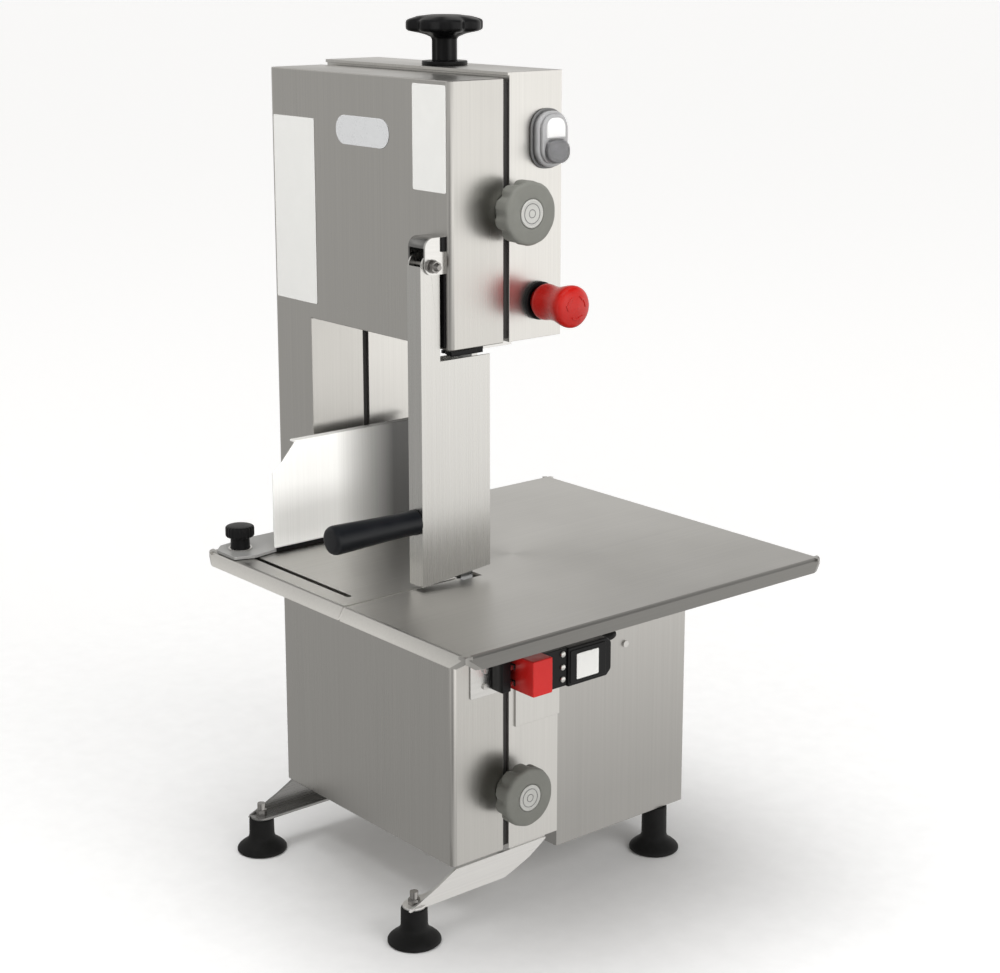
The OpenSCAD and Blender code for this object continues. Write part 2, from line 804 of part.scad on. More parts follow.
module stop_head() {
    color("#d01c16") at_corner() translate([0, 103, stop_z]) rotate([0, 90, 0]) difference() {
        rotate_extrude() polygon([
            [0, 5.4], [14.4, 5.4], [14.4, 9.4], [17.4, 9.8], [17.7, 11], [17.4, 14.5], [16, 19], [15.8, 23],
            [17, 27.5], [19.2, 32], [20.6, 36], [20.8, 41], [19.8, 46], [17.2, 50], [13, 52.8], [7, 54], [0, 54.4]
        ]);
        translate([0, 0, 4]) cylinder(h = 26.2, r = 8.05);
    }
}

module button_gasket() {
    color("#2a2a2a") at_corner() difference() {
        block([0, 92, 652], [2.5, 132, 706.5]);
        block([-1, 101, 657.5], [4, 123, 699.5]);
    }
}

module button_bezel() {
    color("#a9aaa6") at_corner() difference() {
        union() {
            block([2.5, 94, 654], [9, 130.5, 704.5]);
            block([9, 96.5, 656], [13, 128, 702.5]);
            block([-12, 101.2, 657.7], [2.5, 122.8, 699.3]);
        }
        for (z = [666.5, 690.5]) {
            block([-13, 102.5, z - 8.6], [14, 121.5, z + 8.6]);
        }
        block([9, 101, 656.7], [14, 124, 701.5]);
    }
}

module start_button() {
    color("#e9e9e4") at_corner() {
        block([-8, 102.9, 682.3], [11.5, 121.1, 698.7]);
        block([11.5, 104.5, 684], [12.5, 119.5, 697]);
    }
}

module stop_button() {
    color("#3b3d40") at_corner() {
        block([-8, 102.9, 658.3], [15.5, 121.1, 674.7]);
        block([15.5, 104.5, 660], [17.5, 119.5, 673]);
    }
}

// Bolt heads on the rails, carriage guides, scrapers and motor flange.
module frame_screws() {
    color("gainsboro") at_corner() {
        for (x = [-192, -57], y = [86, 118]) {
            translate([x, y, lower_h + 3]) cylinder(h = 4, r = 5, $fn = 6);
        }
        for (s = [-1, 1], z = [-60, 56]) {
            rod_y(101, 105, wheel_x + s * 35, upper_z + z, 4.5);
        }
        rod_y(seam_y - 6, seam_y - 2.5, wheel_x, lower_z + wheel_r - 10, 4.5);
        rod_x(-1, 1, 220, 173, 3.4);
        translate([wheel_x, 0, lower_z]) rotate([-90, 0, 0]) for (a = [45 : 90 : 315]) {
            rotate([0, 0, a]) translate([57, 0, rear_y]) {
                cylinder(h = 8, r = 4);
                translate([0, 0, 8]) cylinder(h = 5, r = 6.5, $fn = 6);
            }
        }
    }
}

module switch_plate() {
    color("silver") at_corner() block([0, 75.5, 123], [2, 131, 213]);
}

module switch_body() {
    color("#18191a") at_corner() {
        block([2, 88.8, 162], [28, 117, 201]);
        block([2, 117, 161], [31, 168, 200]);
        block([2, 168, 164], [28, 173, 198]);
    }
}

module switch_head() {
    color("#c8201c") at_corner() difference() {
        block([2.2, 64.5, 166], [40, 88.6, 201]);
        block([5.5, 63, 170], [14.5, 84, 176]);
        block([5.5, 63, 186], [14.5, 84, 192]);
    }
}

module switch_lid() {
    color("#d8d8d4") at_corner() block([31, 126.5, 167], [31.8, 155, 193]);
}

module switch_screws() {
    color("gainsboro") at_corner() for (z = [170, 182, 195]) {
        rod_x(28, 30, 111.5, z, 3.2);
    }
}

// Cable from the switch's back end, round and into the motor case.
module switch_cable() {
    color("#141414") at_corner() {
        rod_y(173, 184, 14, 192, 3.4);
        translate([2, 184, 192]) rotate_extrude(angle = 90) translate([12, 0]) circle(r = 3.4, $fn = 32);
        rod_x(-8, 2, 196, 192, 3.4);
    }
}

module cable_gland() {
    color("#26282a") at_corner() difference() {
        rod_x(-1, 1.8, 196, 192, 8);
        rod_x(-2, 3, 196, 192, 3.6);
    }
}

module switch_key() {
    color("#202122") at_corner() {
        block([0, 20.6, 163], [1.5, 58, 203]);
        block([1.5, 47, 167], [16, 58, 198]);
    }
}

module key_prongs() {
    color("gainsboro") at_corner() for (z = [173, 189]) {
        block([7, 58, z - 2], [13, 82, z + 2]);
        rod_x(1.5, 3.5, 38, z, 3.2);
    }
}

// Blank plates on the front of the door.
module label_plates() {
    color("#e8e8e2") at_corner() {
        block([-273, -0.6, 512], [-205, 0, 690]);
        block([-52, -0.6, 637], [-4.5, 0, 731]);
    }
}

module front_badge() {
    color("#b8bcc2") at_corner() along_y(-0.6, 0) slot_outline([-155.5, 683], [-100.5, 683], 13.5);
}

rear_housing();
door();
seam_gasket();
motor_box();
hinge_leaves();
door_hinge_leaves();
leg_brackets();
rubber_feet();
foot_studs();
table();
table_rails();
fence();
fence_nut();
fence_knob();
band();
lower_wheel();
motor_shaft();
lower_wheel_nut();
motor_body();
motor_flange();
upper_wheel();
wheel_bearings();
upper_axle();
tension_carriage();
carriage_guides();
tension_screw();
tension_knob();
knob_collar();
band_guides();
guide_brackets();
frame_screws();
upper_stud();
upper_lock_knob();
upper_knob_cap();
lower_stud();
lower_lock_knob();
lower_knob_cap();
arm_bracket();
pivot_bolt();
pusher_arm();
arm_handle();
stop_collar();
stop_stem();
stop_head();
button_gasket();
button_bezel();
start_button();
stop_button();
switch_plate();
switch_body();
switch_head();
switch_lid();
switch_screws();
switch_cable();
cable_gland();
switch_key();
key_prongs();
label_plates();
front_badge();
arm_pad();
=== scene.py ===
import math
import bpy
import bmesh
from mathutils import Vector, Matrix


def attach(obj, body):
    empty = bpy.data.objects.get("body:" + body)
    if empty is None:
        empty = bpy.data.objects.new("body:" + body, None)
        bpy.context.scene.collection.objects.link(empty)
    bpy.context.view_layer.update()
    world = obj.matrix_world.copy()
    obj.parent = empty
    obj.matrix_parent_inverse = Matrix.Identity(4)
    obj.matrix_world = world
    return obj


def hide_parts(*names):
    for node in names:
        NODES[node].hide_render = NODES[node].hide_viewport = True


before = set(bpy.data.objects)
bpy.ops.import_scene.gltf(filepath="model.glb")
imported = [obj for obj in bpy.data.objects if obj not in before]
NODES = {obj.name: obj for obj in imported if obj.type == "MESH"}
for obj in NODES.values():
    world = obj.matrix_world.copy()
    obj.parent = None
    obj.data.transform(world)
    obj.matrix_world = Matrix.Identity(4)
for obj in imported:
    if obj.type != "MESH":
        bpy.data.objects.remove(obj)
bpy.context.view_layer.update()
scene = bpy.context.scene

# Places below are millimetres from the lower right front corner of the body, which is here in the frame.
CORNER = (68.0, -107.75, 65.5)
FLOOR_Z = -CORNER[2]
FEET = [(-10, -39, -30), (-269, -39, -30), (-10, 274, -17), (-269, 274, -17)]  # x, y, top of the rubber
CLAMP_Y = 68.5
CLAMP_Z = {"upper": 617.5, "lower": 62.5}
TENSION_AXIS = (-127, 96, 0)
FENCE_KNOB = (-220, -86, 277)
HANDLE = (-19.25, -25.5, 340)
STOP = (0, 103, 532)


def P(x, y, z):
    """Millimetres from the body's lower right front corner, to metres in the frame."""
    return Vector(((x + CORNER[0]) / 1000, (y + CORNER[1]) / 1000, (z + CORNER[2]) / 1000))


# ---------------------------------------------------------------- camera
cam_data = bpy.data.cameras.new("camera")
cam = bpy.data.objects.new("camera", cam_data)
scene.collection.objects.link(cam)
cam_data.sensor_width = 36
cam_data.lens = 72.41
cam_data.shift_y = -0.0869
cam.location = P(1373.7, -1091.0, 848.5)
cam.rotation_euler = (math.radians(90 - 12.7), 0, math.radians(50.1))
scene.camera = cam


# ---------------------------------------------------------------- shader helpers
def new_mat(name):
    m = bpy.data.materials.new(name)
    m.use_nodes = True
    nt = m.node_tree
    nt.nodes.clear()
    out = nt.nodes.new("ShaderNodeOutputMaterial")
    b = nt.nodes.new("ShaderNodeBsdfPrincipled")
    nt.links.new(b.outputs[0], out.inputs[0])
    return m, nt, b


def coords(nt, scale):
    """Object coordinates, stretched by one number or by three."""
    tc = nt.nodes.new("ShaderNodeTexCoord")
    mp = nt.nodes.new("ShaderNodeMapping")
    mp.inputs["Scale"].default_value = scale if hasattr(scale, "__len__") else (scale,) * 3
    nt.links.new(tc.outputs["Object"], mp.inputs["Vector"])
    return mp.outputs[0]


def noise(nt, vec, detail=3.0, rough=0.5):
    n = nt.nodes.new("ShaderNodeTexNoise")
    n.inputs["Scale"].default_value = 1.0
    n.inputs["Detail"].default_value = detail
    n.inputs["Roughness"].default_value = rough
    nt.links.new(vec, n.inputs["Vector"])
    return n.outputs[0]


def span(nt, value, lo, hi, a=0.3, b=0.7):
    """Maps a..b to lo..hi and clamps."""
    m = nt.nodes.new("ShaderNodeMapRange")
    for i, v in enumerate((a, b, lo, hi)):
        m.inputs[i + 1].default_value = v
    nt.links.new(value, m.inputs[0])
    return m.outputs[0]


def maths(nt, op, a, b):
    m = nt.nodes.new("ShaderNodeMath")
    m.operation = op
    for i, v in enumerate((a, b)):
        if isinstance(v, (int, float)):
            m.inputs[i].default_value = v
        else:
            nt.links.new(v, m.inputs[i])
    return m.outputs[0]


def tone(nt, fac, a, b):
    """Mixes two plain colours."""
    m = nt.nodes.new("ShaderNodeMix")
    m.data_type = "RGBA"
    m.inputs[6].default_value = (*a, 1)
    m.inputs[7].default_value = (*b, 1)
    nt.links.new(fac, m.inputs[0])
    return m.outputs[2]


def bump(nt, bsdf, height, strength, dist):
    b = nt.nodes.new("ShaderNodeBump")
    b.inputs["Strength"].default_value = strength
    b.inputs["Distance"].default_value = dist
    nt.links.new(height, b.inputs["Height"])
    nt.links.new(b.outputs[0], bsdf.inputs["Normal"])


# ---------------------------------------------------------------- materials
LINE_RUN = 7.0
BRUSH_ANISO = 0.35


def steel(name, grain, base=(0.62, 0.61, 0.585), rough=0.3, fine=2400.0, deep=0.05):
    """Brushed stainless sheet: grain is the axis that the brush lines run along."""
    m, nt, b = new_mat(name)
    axis = "XYZ".index(grain)
    line_scale = [fine] * 3
    line_scale[axis] = LINE_RUN
    lines = noise(nt, coords(nt, line_scale), 4.0, 0.6)
    band_scale = [fine * 0.22] * 3
    band_scale[axis] = LINE_RUN * 0.5
    bands = noise(nt, coords(nt, band_scale), 2.0, 0.5)
    cloud = noise(nt, coords(nt, 7), 3.0, 0.55)
    fac = maths(nt, "ADD", maths(nt, "MULTIPLY", lines, 0.55), maths(nt, "MULTIPLY", bands, 0.45))
    dark = tuple(c * 0.955 for c in base)
    light = tuple(min(1.0, c * 1.035) for c in base)
    nt.links.new(tone(nt, span(nt, fac, 0, 1, 0.35, 0.65), dark, light), b.inputs["Base Color"])
    gloss = maths(nt, "ADD", span(nt, lines, rough - 0.03, rough + 0.04), span(nt, cloud, -0.03, 0.035))
    nt.links.new(gloss, b.inputs["Roughness"])
    b.inputs["Metallic"].default_value = 1.0
    b.inputs["Anisotropic"].default_value = BRUSH_ANISO
    bump(nt, b, fac, deep, 0.00015)
    return m


def turned(name, base, rough):
    """Machined or cast metal with fine marks and mottled roughness."""
    m, nt, b = new_mat(name)
    fine = noise(nt, coords(nt, 2200), 3.0, 0.6)
    cloud = noise(nt, coords(nt, 60), 3.0, 0.6)
    dark = tuple(c * 0.88 for c in base)
    nt.links.new(tone(nt, span(nt, cloud, 0, 1), dark, base), b.inputs["Base Color"])
    nt.links.new(span(nt, fine, rough - 0.06, rough + 0.08), b.inputs["Roughness"])
    b.inputs["Metallic"].default_value = 1.0
    bump(nt, b, fine, 0.06, 0.0001)
    return m


def plastic(name, base, rough=0.45, grain=0.08, scale=2600.0, spec=0.5, coat=0.0, dust=0.10):
    """Moulded plastic or rubber: fine spark-eroded grain, a little dust and handling wear."""
    m, nt, b = new_mat(name)
    fine = noise(nt, coords(nt, scale), 2.0, 0.5)
    cloud = noise(nt, coords(nt, 45), 4.0, 0.6)
    dusty = tuple(min(1.0, c + dust * 0.25 + c * dust) for c in base)
    nt.links.new(tone(nt, span(nt, cloud, 0, 1, 0.45, 0.8), base, dusty), b.inputs["Base Color"])
    gloss = maths(nt, "ADD", span(nt, fine, rough - 0.03, rough + 0.05), span(nt, cloud, -0.04, 0.06))
    nt.links.new(gloss, b.inputs["Roughness"])
    b.inputs["Specular IOR Level"].default_value = spec
    b.inputs["Coat Weight"].default_value = coat
    b.inputs["Coat Roughness"].default_value = 0.12
    bump(nt, b, fine, grain, 0.0002)
    return m


def clear_plastic(name):
    """Soft see-through boot with slightly milky patches."""
    m, nt, b = new_mat(name)
    cloud = noise(nt, coords(nt, 300), 3.0, 0.6)
    nt.links.new(span(nt, cloud, 0.10, 0.24), b.inputs["Roughness"])
    tint = tone(nt, span(nt, cloud, 0, 1), (0.90, 0.90, 0.91), (0.97, 0.97, 0.98))
    nt.links.new(tint, b.inputs["Base Color"])
    b.inputs["Transmission Weight"].default_value = 1.0
    b.inputs["IOR"].default_value = 1.35
    bump(nt, b, cloud, 0.12, 0.0004)
    return m


M = {
    "door": steel("door_steel", "Z"),
    # A lighter copy of the door's steel: painted light.
    "house": steel("housing_steel", "Z", base=(0.72, 0.71, 0.685), rough=0.32),
    "case": steel("case_steel", "Z", base=(0.58, 0.57, 0.55), rough=0.34),
    "table": steel("table_steel", "Y", base=(0.63, 0.62, 0.595), rough=0.34, deep=0.08),
    # A much lighter copy of the door's steel: painted light.
    "fence": steel("fence_steel", "Z", base=(0.92, 0.915, 0.89), rough=0.34),
    "arm": steel("arm_steel", "Z", base=(0.67, 0.665, 0.645), rough=0.26),
    "bright": steel("bracket_steel", "Y", base=(0.74, 0.735, 0.72), rough=0.22, deep=0.06),
    # A lighter copy of the door's steel: painted light.
    "leg": steel("leg_steel", "Y", base=(0.93, 0.92, 0.90), rough=0.30),
    "bracket": steel("hood_steel", "Y", base=(0.72, 0.715, 0.70), rough=0.20, deep=0.06),
    "bolt": turned("bolt_steel", (0.72, 0.71, 0.69), 0.24),
    "band": steel("band_steel", "Z", base=(0.34, 0.345, 0.35), rough=0.25, fine=900.0),
    "cast": turned("cast_alloy", (0.66, 0.665, 0.66), 0.42),
    "motor": plastic("motor_paint", (0.16, 0.18, 0.20), 0.42, 0.05, 900.0, coat=0.2),
    "black": plastic("black_plastic", (0.004, 0.004, 0.0045), 0.34, 0.05, spec=0.22, dust=0.01),
    "handle": plastic("handle_plastic", (0.004, 0.005, 0.007), 0.36, 0.04, spec=0.35, dust=0.01),
    "rubber": plastic("black_rubber", (0.006, 0.006, 0.006), 0.6, 0.12, 1500.0, spec=0.22, dust=0.03),
    "gasket": plastic("gasket_rubber", (0.028, 0.027, 0.026), 0.6, 0.10, 1500.0, dust=0.05),
    "pad": plastic("pad_rubber", (0.16, 0.16, 0.16), 0.5, 0.08, 1500.0, dust=0.05),
    "grey": plastic("grey_plastic", (0.165, 0.167, 0.150), 0.46, 0.10, 2000.0, spec=0.3, dust=0.05),
    "cap": plastic("cap_plastic", (0.44, 0.44, 0.42), 0.35, 0.03, dust=0.03),
    "capdark": plastic("cap_mark", (0.16, 0.16, 0.16), 0.4, 0.03),
    "red": plastic("red_plastic", (0.42, 0.008, 0.005), 0.24, 0.03, spec=0.4, dust=0.0),
    "redmat": plastic("red_matt_plastic", (0.58, 0.012, 0.010), 0.36, 0.05, spec=0.35, dust=0.0),
    "bezel": plastic("bezel_plastic", (0.33, 0.33, 0.335), 0.24, 0.03, coat=0.5, dust=0.03),
    "key_on": plastic("white_key", (0.72, 0.72, 0.72), 0.22, 0.02, coat=0.5, dust=0.02),
    "key_off": plastic("dark_key", (0.20, 0.20, 0.205), 0.25, 0.02, coat=0.5, dust=0.03),
    "pivot": turned("pivot_steel", (0.34, 0.33, 0.32), 0.2),
    "plate": plastic("plate_film", (0.78, 0.78, 0.76), 0.36, 0.02, 500.0, dust=0.02),
    "badge": plastic("badge_film", (0.62, 0.63, 0.64), 0.28, 0.02, 500.0, coat=0.4, dust=0.02),
    "clear": clear_plastic("clear_boot"),
}


def paint_light_along(mat, axis, start, end, near, far, metallic):
    """Paints light and shade into a steel's colour along one axis: painted reflections, painted highlights
    and painted shadows that the plain studio doesn't give.

    The tone goes from near to far between the places start and end, in millimetres."""
    m = M[mat]
    nt = m.node_tree
    b = nt.nodes["Principled BSDF"]
    i = "XYZ".index(axis)
    tc = nt.nodes.new("ShaderNodeTexCoord")
    parts = nt.nodes.new("ShaderNodeSeparateXYZ")
    nt.links.new(tc.outputs["Object"], parts.inputs[0])
    mix = nt.nodes.new("ShaderNodeMix")
    mix.data_type = "RGBA"
    mix.blend_type = "MULTIPLY"
    mix.inputs[0].default_value = 1.0
    source = b.inputs["Base Color"].links[0].from_socket
    nt.links.new(source, mix.inputs[6])
    fac = span(nt, parts.outputs[i], 0.0, 1.0, P(start, start, start)[i], P(end, end, end)[i])
    nt.links.new(tone(nt, fac, (near,) * 3, (far,) * 3), mix.inputs[7])
    nt.links.new(mix.outputs[2], b.inputs["Base Color"])
    b.inputs["Metallic"].default_value = metallic


# Painted shade on the fence: darker towards its back as painted shadow of the arm, and darker along its foot
# and tab as painted shade near the table.
paint_light_along("fence", "Y", 10, 80, 1.0, 0.12, 0.4)
paint_light_along("fence", "Z", 280, 284, 0.28, 1.0, 0.4)
# Painted shade: the legs darken towards the left, where the left leg stands in the shade under the body.
paint_light_along("leg", "X", -255, -30, 0.30, 0.85, 0.85)
# Painted shade: the arm bracket is darker left of its right-hand cheek, over its shaded inside.
paint_light_along("bracket", "X", -10.2, -8.4, 0.34, 1.0, 1.0)
# Painted light and shade on the table: darker towards the right and on its right rim as painted shade,
# lighter on its front rim as a painted highlight.
paint_light_along("table", "X", 40, 150, 1.0, 0.86, 1.0)
paint_light_along("table", "X", 151, 154, 1.0, 0.66, 1.0)
paint_light_along("table", "Y", -112, -107, 1.22, 1.0, 1.0)
# Painted shade: the motor case darkens towards the bottom, in the shade under the table.
paint_light_along("case", "Z", 20, 220, 0.74, 0.97, 1.0)


# ---------------------------------------------------------------- mesh helpers
def make(name, bm, mat, body, node=()):
    """Turns bm into a smooth object that rides with a body and may stand in for a CAD node."""
    me = bpy.data.meshes.new(name)
    bmesh.ops.remove_doubles(bm, verts=bm.verts, dist=1e-6)
    bmesh.ops.recalc_face_normals(bm, faces=bm.faces)
    bm.to_mesh(me)
    bm.free()
    ob = bpy.data.objects.new(name, me)
    scene.collection.objects.link(ob)
    me.materials.append(M[mat])
    for f in me.polygons:
        f.use_smooth = True
    normals = ob.modifiers.new("normals", "WEIGHTED_NORMAL")
    normals.keep_sharp = True
    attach(ob, body)
    if node:
        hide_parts(*([node] if isinstance(node, str) else node))
    return ob


def frame_of(origin, axis):
    """Matrix that turns local Z to axis, with the origin given in millimetres."""
    z = Vector(axis).normalized()
    x = Vector((1, 0, 0)) if abs(z.x) < 0.9 else Vector((0, 1, 0))
    x = (x - z * x.dot(z)).normalized()
    y = z.cross(x)
    m = Matrix((x, y, z)).transposed().to_4x4()
    m.translation = P(*origin)
    return m


def polar(mat4, r, a, h):
    """Point at a radius, an angle and a height, in millimetres, in a frame_of matrix."""
    return mat4 @ Vector((r * math.cos(a) / 1000, r * math.sin(a) / 1000, h / 1000))


def rings(bm, loops, caps=True):
    """Skin between equal loops of points."""
    vs = [[bm.verts.new(p) for p in lp] for lp in loops]
    n = len(vs[0])
    for a, b in zip(vs, vs[1:]):
        for i in range(n):
            j = (i + 1) % n
            bm.faces.new((a[i], a[j], b[j], b[i]))
    if caps:
        bm.faces.new(list(reversed(vs[0])))
        bm.faces.new(vs[-1])


def lathe(bm, prof, mat4, segs=64, wave=None):
    """Revolve (radius, height) points in millimetres; wave(angle, k) scales the radius of point k."""
    loops = []
    for k, (r, h) in enumerate(prof):
        lp = []
        for i in range(segs):
            a = 2 * math.pi * i / segs
            rr = max(r, 0.02) * (wave(a, k) if wave else 1)
            lp.append(polar(mat4, rr, a, h))
        loops.append(lp)
    rings(bm, loops)


def scallop(a, count, depth, power=1.0):
    """Radius factor of a grip with equal hollows around it."""
    return 1.0 - depth * (0.5 + 0.5 * math.cos(count * a)) ** power


def rounded(pts, n=5):
    """Rounds a closed 2D outline given as (x, y, radius)."""
    out = []
    k = len(pts)
    for i in range(k):
        p = Vector(pts[i][:2])
        r = pts[i][2]
        a = (Vector(pts[i - 1][:2]) - p).normalized()
        b = (Vector(pts[(i + 1) % k][:2]) - p).normalized()
        half = math.acos(max(-1, min(1, a.dot(b)))) / 2
        d = r / math.tan(half)
        c = p + (a + b).normalized() * (r / math.sin(half))
        s = p + a * d - c
        e = p + b * d - c
        a0 = math.atan2(s.y, s.x)
        da = math.atan2(e.y, e.x) - a0
        while da > math.pi:
            da -= 2 * math.pi
        while da < -math.pi:
            da += 2 * math.pi
        for t in range(n + 1):
            g = a0 + da * t / n
            out.append(c + Vector((math.cos(g), math.sin(g))) * r)
    return out


def box2d(u0, u1, v0, v1, r, n=10):
    """Rectangle outline with four equal rounded corners."""
    return rounded([(u0, v0, r), (u1, v0, r), (u1, v1, r), (u0, v1, r)], n)


def slab(bm, pts, h0, h1, place, edge=0.0, steps=3):
    """Extrudes a 2D outline between two heights; place(u, v, h) gives the point. The top edge is rounded."""
    c = sum((Vector(p) for p in pts), Vector((0, 0))) / len(pts)
    levels = [(h0, 0.0), (h1 - edge, 0.0)]
    if edge:
        for s in range(1, steps + 1):
            g = math.pi / 2 * s / steps
            levels.append((h1 - edge + edge * math.sin(g), edge * (1 - math.cos(g))))
    loops = []
    for h, inset in levels:
        lp = []
        for i, p in enumerate(pts):
            a = Vector(pts[i - 1])
            b = Vector(pts[(i + 1) % len(pts)])
            t = (b - a).normalized()
            nrm = Vector((t.y, -t.x))
            if nrm.dot(Vector(p) - c) < 0:
                nrm = -nrm
            q = Vector(p) - nrm * inset
            lp.append(place(q.x, q.y, h))
        loops.append(lp)
    rings(bm, loops)


def side(u, v, h):
    """Outline on the right-hand side of the body, raised towards +X."""
    return P(h, u, v)


def front(u, v, h):
    """Outline on the front of the body, raised towards -Y."""
    return P(u, -h, v)


def tube(bm, pts, r, segs=20):
    """Round tube through points in millimetres."""
    ps = [P(*p) for p in pts]
    up = Vector((0.13, 0.3, 0.9)).normalized()
    loops = []
    for i, p in enumerate(ps):
        t = (ps[min(i + 1, len(ps) - 1)] - ps[max(i - 1, 0)]).normalized()
        s = t.cross(up).normalized()
        u = s.cross(t)
        up = u
        turns = [2 * math.pi * k / segs for k in range(segs)]
        loops.append([p + (s * math.cos(a) + u * math.sin(a)) * r / 1000 for a in turns])
    rings(bm, loops)


def spline(pts, n=8):
    """Smooth curve through the points."""
    q = [Vector(p) for p in pts]
    q = [q[0] * 2 - q[1]] + q + [q[-1] * 2 - q[-2]]
    out = []
    for i in range(1, len(q) - 2):
        a, b, c, d = q[i - 1:i + 3]
        for k in range(n):
            t = k / n
            square = (2 * a - 5 * b + 4 * c - d) * t * t
            cube = (3 * b - a - 3 * c + d) * t ** 3
            out.append(0.5 * ((2 * b) + (c - a) * t + square + cube))
    out.append(q[-2])
    return [tuple(v) for v in out]


def add_lathe(name, mat, body, prof, mat4, segs=64, wave=None, node=()):
    """One revolved piece."""
    bm = bmesh.new()
    lathe(bm, prof, mat4, segs, wave)
    make(name, bm, mat, body, node)


def add_slab(name, mat, body, slabs, node=()):
    """One piece made of raised outlines, each a tuple of slab's arguments."""
    bm = bmesh.new()
    for args in slabs:
        slab(bm, *args)
    make(name, bm, mat, body, node)


# ---------------------------------------------------------------- CAD nodes that stay
# node: material and width of the softened edges in millimetres
KEEP = {
    "rear_housing": ("house", 0.9), "door": ("door", 0.9), "seam_gasket": ("gasket", 0.4),
    "motor_box": ("case", 0.9), "hinge_leaves": ("bright", 0.4), "door_hinge_leaves": ("bright", 0.4),
    "leg_brackets": ("leg", 0.3), "foot_studs": ("pivot", 0.3), "table": ("table", 0.6),
    "table_rails": ("house", 0.4), "fence": ("fence", 0.5), "fence_nut": ("bolt", 0.4), "band": ("band", 0.0),
    "lower_wheel": ("cast", 0.4), "motor_shaft": ("bolt", 0.3), "lower_wheel_nut": ("bolt", 0.4),
    "motor_body": ("motor", 0.5), "motor_flange": ("motor", 0.5), "upper_wheel": ("cast", 0.4),
    "wheel_bearings": ("bolt", 0.2), "upper_axle": ("bolt", 0.4), "tension_carriage": ("cast", 0.6),
    "carriage_guides": ("bolt", 0.4), "tension_screw": ("bolt", 0.3), "knob_collar": ("black", 0.5),
    "band_guides": ("black", 0.4), "guide_brackets": ("bright", 0.3), "frame_screws": ("bolt", 0.3),
    "upper_stud": ("bolt", 0.3), "lower_stud": ("bolt", 0.3), "arm_bracket": ("bracket", 0.4),
    # arm_pad is a black strip behind the pusher arm, a dark sheet put where the arm's shadow falls on the
    # door: painted shadow.
    "pivot_bolt": ("pivot", 0.4), "arm_pad": ("black", 0.2), "pusher_arm": ("arm", 0.4),
    "stop_collar": ("black", 0.5), "stop_stem": ("black", 0.4), "switch_plate": ("house", 0.3),
    "cable_gland": ("black", 0.4), "key_prongs": ("bolt", 0.3),
}
BIG_SHEETS = ("motor_box", "rear_housing", "door")


def dress(name, mat, width):
    """Gives a kept node its material and edges; the big flat sheets lose their stray triangles first."""
    ob = NODES[name]
    ob.data.materials.clear()
    ob.data.materials.append(M[mat])
    weld = ob.modifiers.new("weld", "WELD")
    weld.merge_threshold = 2e-5
    if name in BIG_SHEETS:
        flat = ob.modifiers.new("flat_faces", "DECIMATE")
        flat.decimate_type = "DISSOLVE"
        flat.angle_limit = math.radians(0.2)
    if width:
        edges = ob.modifiers.new("edges", "BEVEL")
        edges.width = width / 1000
        edges.segments = 2
        edges.limit_method = "ANGLE"
        edges.angle_limit = math.radians(40)
        edges.harden_normals = True
        edges.use_clamp_overlap = True


for name, (mat, width) in KEEP.items():
    dress(name, mat, width)


# ---------------------------------------------------------------- feet
def foot_profile(h):
    """Flared rubber foot of height h, from the floor up."""
    return [(13.5, 1.2), (21.5, 0.0), (24.4, 0.4), (25.5, 1.6), (25.5, 3.2), (24.4, 4.9), (21.6, 7.4),
            (17.9, 10.0), (15.0, 12.4), (13.7, 15.0), (13.0, 17.5), (12.7, h - 1.6), (12.2, h - 0.5),
            (11.2, h), (0, h)]


bm = bmesh.new()
for x, y, top in FEET:
    lathe(bm, foot_profile(top - FLOOR_Z), frame_of((x, y, FLOOR_Z), (0, 0, 1)), 56)
make("foot_rubber", bm, "rubber", "frame", "rubber_feet")


# ---------------------------------------------------------------- clamp knobs
# radius, height, depth of the ten hollows
KNOB = [(16.5, 0.5, 0), (17, 1.2, 0), (17.2, 9.4, 0), (21.5, 10.6, 0.05), (26.6, 12, 0.1), (28.5, 13.6, 0.11),
        (29, 15.8, 0.11), (29, 20.5, 0.10), (29, 24.5, 0.06), (29, 27.6, 0.025), (28.4, 29.6, 0.01),
        (27.1, 30.8, 0), (25.2, 31.3, 0), (20, 31.6, 0), (14.8, 31.6, 0), (13.7, 31.3, 0), (13.4, 30.4, 0),
        (0.1, 30.4, 0)]
KNOB_CAP = [(12.9, 30.2), (12.9, 31.3), (12.4, 31.8), (11.6, 32.0), (10.8, 31.8), (10.6, 31.5), (0.1, 31.7)]
CAP_RING_RADII = (8.9, 3.6)
CAP_RING_SECTION = ((-0.3, 31.5), (-0.3, 31.85), (0.3, 31.85), (0.3, 31.5))


def knob_wave(a, k):
    return scallop(a, 10, KNOB[k][2], 2.2)


def cap_rings(name, body, mat4, n=60):
    """Two thin raised rings, a plain generic mark."""
    bm = bmesh.new()
    for radius in CAP_RING_RADII:
        loops = [[polar(mat4, radius + dr, 2 * math.pi * i / n, h) for i in range(n)]
                 for dr, h in CAP_RING_SECTION]
        rings(bm, loops + loops[:1], caps=False)
    make(name, bm, "capdark", body)


for tag, z in CLAMP_Z.items():
    place = frame_of((0, CLAMP_Y, z), (1, 0, 0))
    lock = tag + "_lock"
    add_lathe(tag + "_clamp_knob", "grey", lock, [(r, h) for r, h, _ in KNOB], place, 200, knob_wave,
              tag + "_lock_knob")
    add_lathe(tag + "_clamp_cap", "cap", lock, KNOB_CAP, place, 72, node=tag + "_knob_cap")
    cap_rings(tag + "_cap_rings", lock, place)


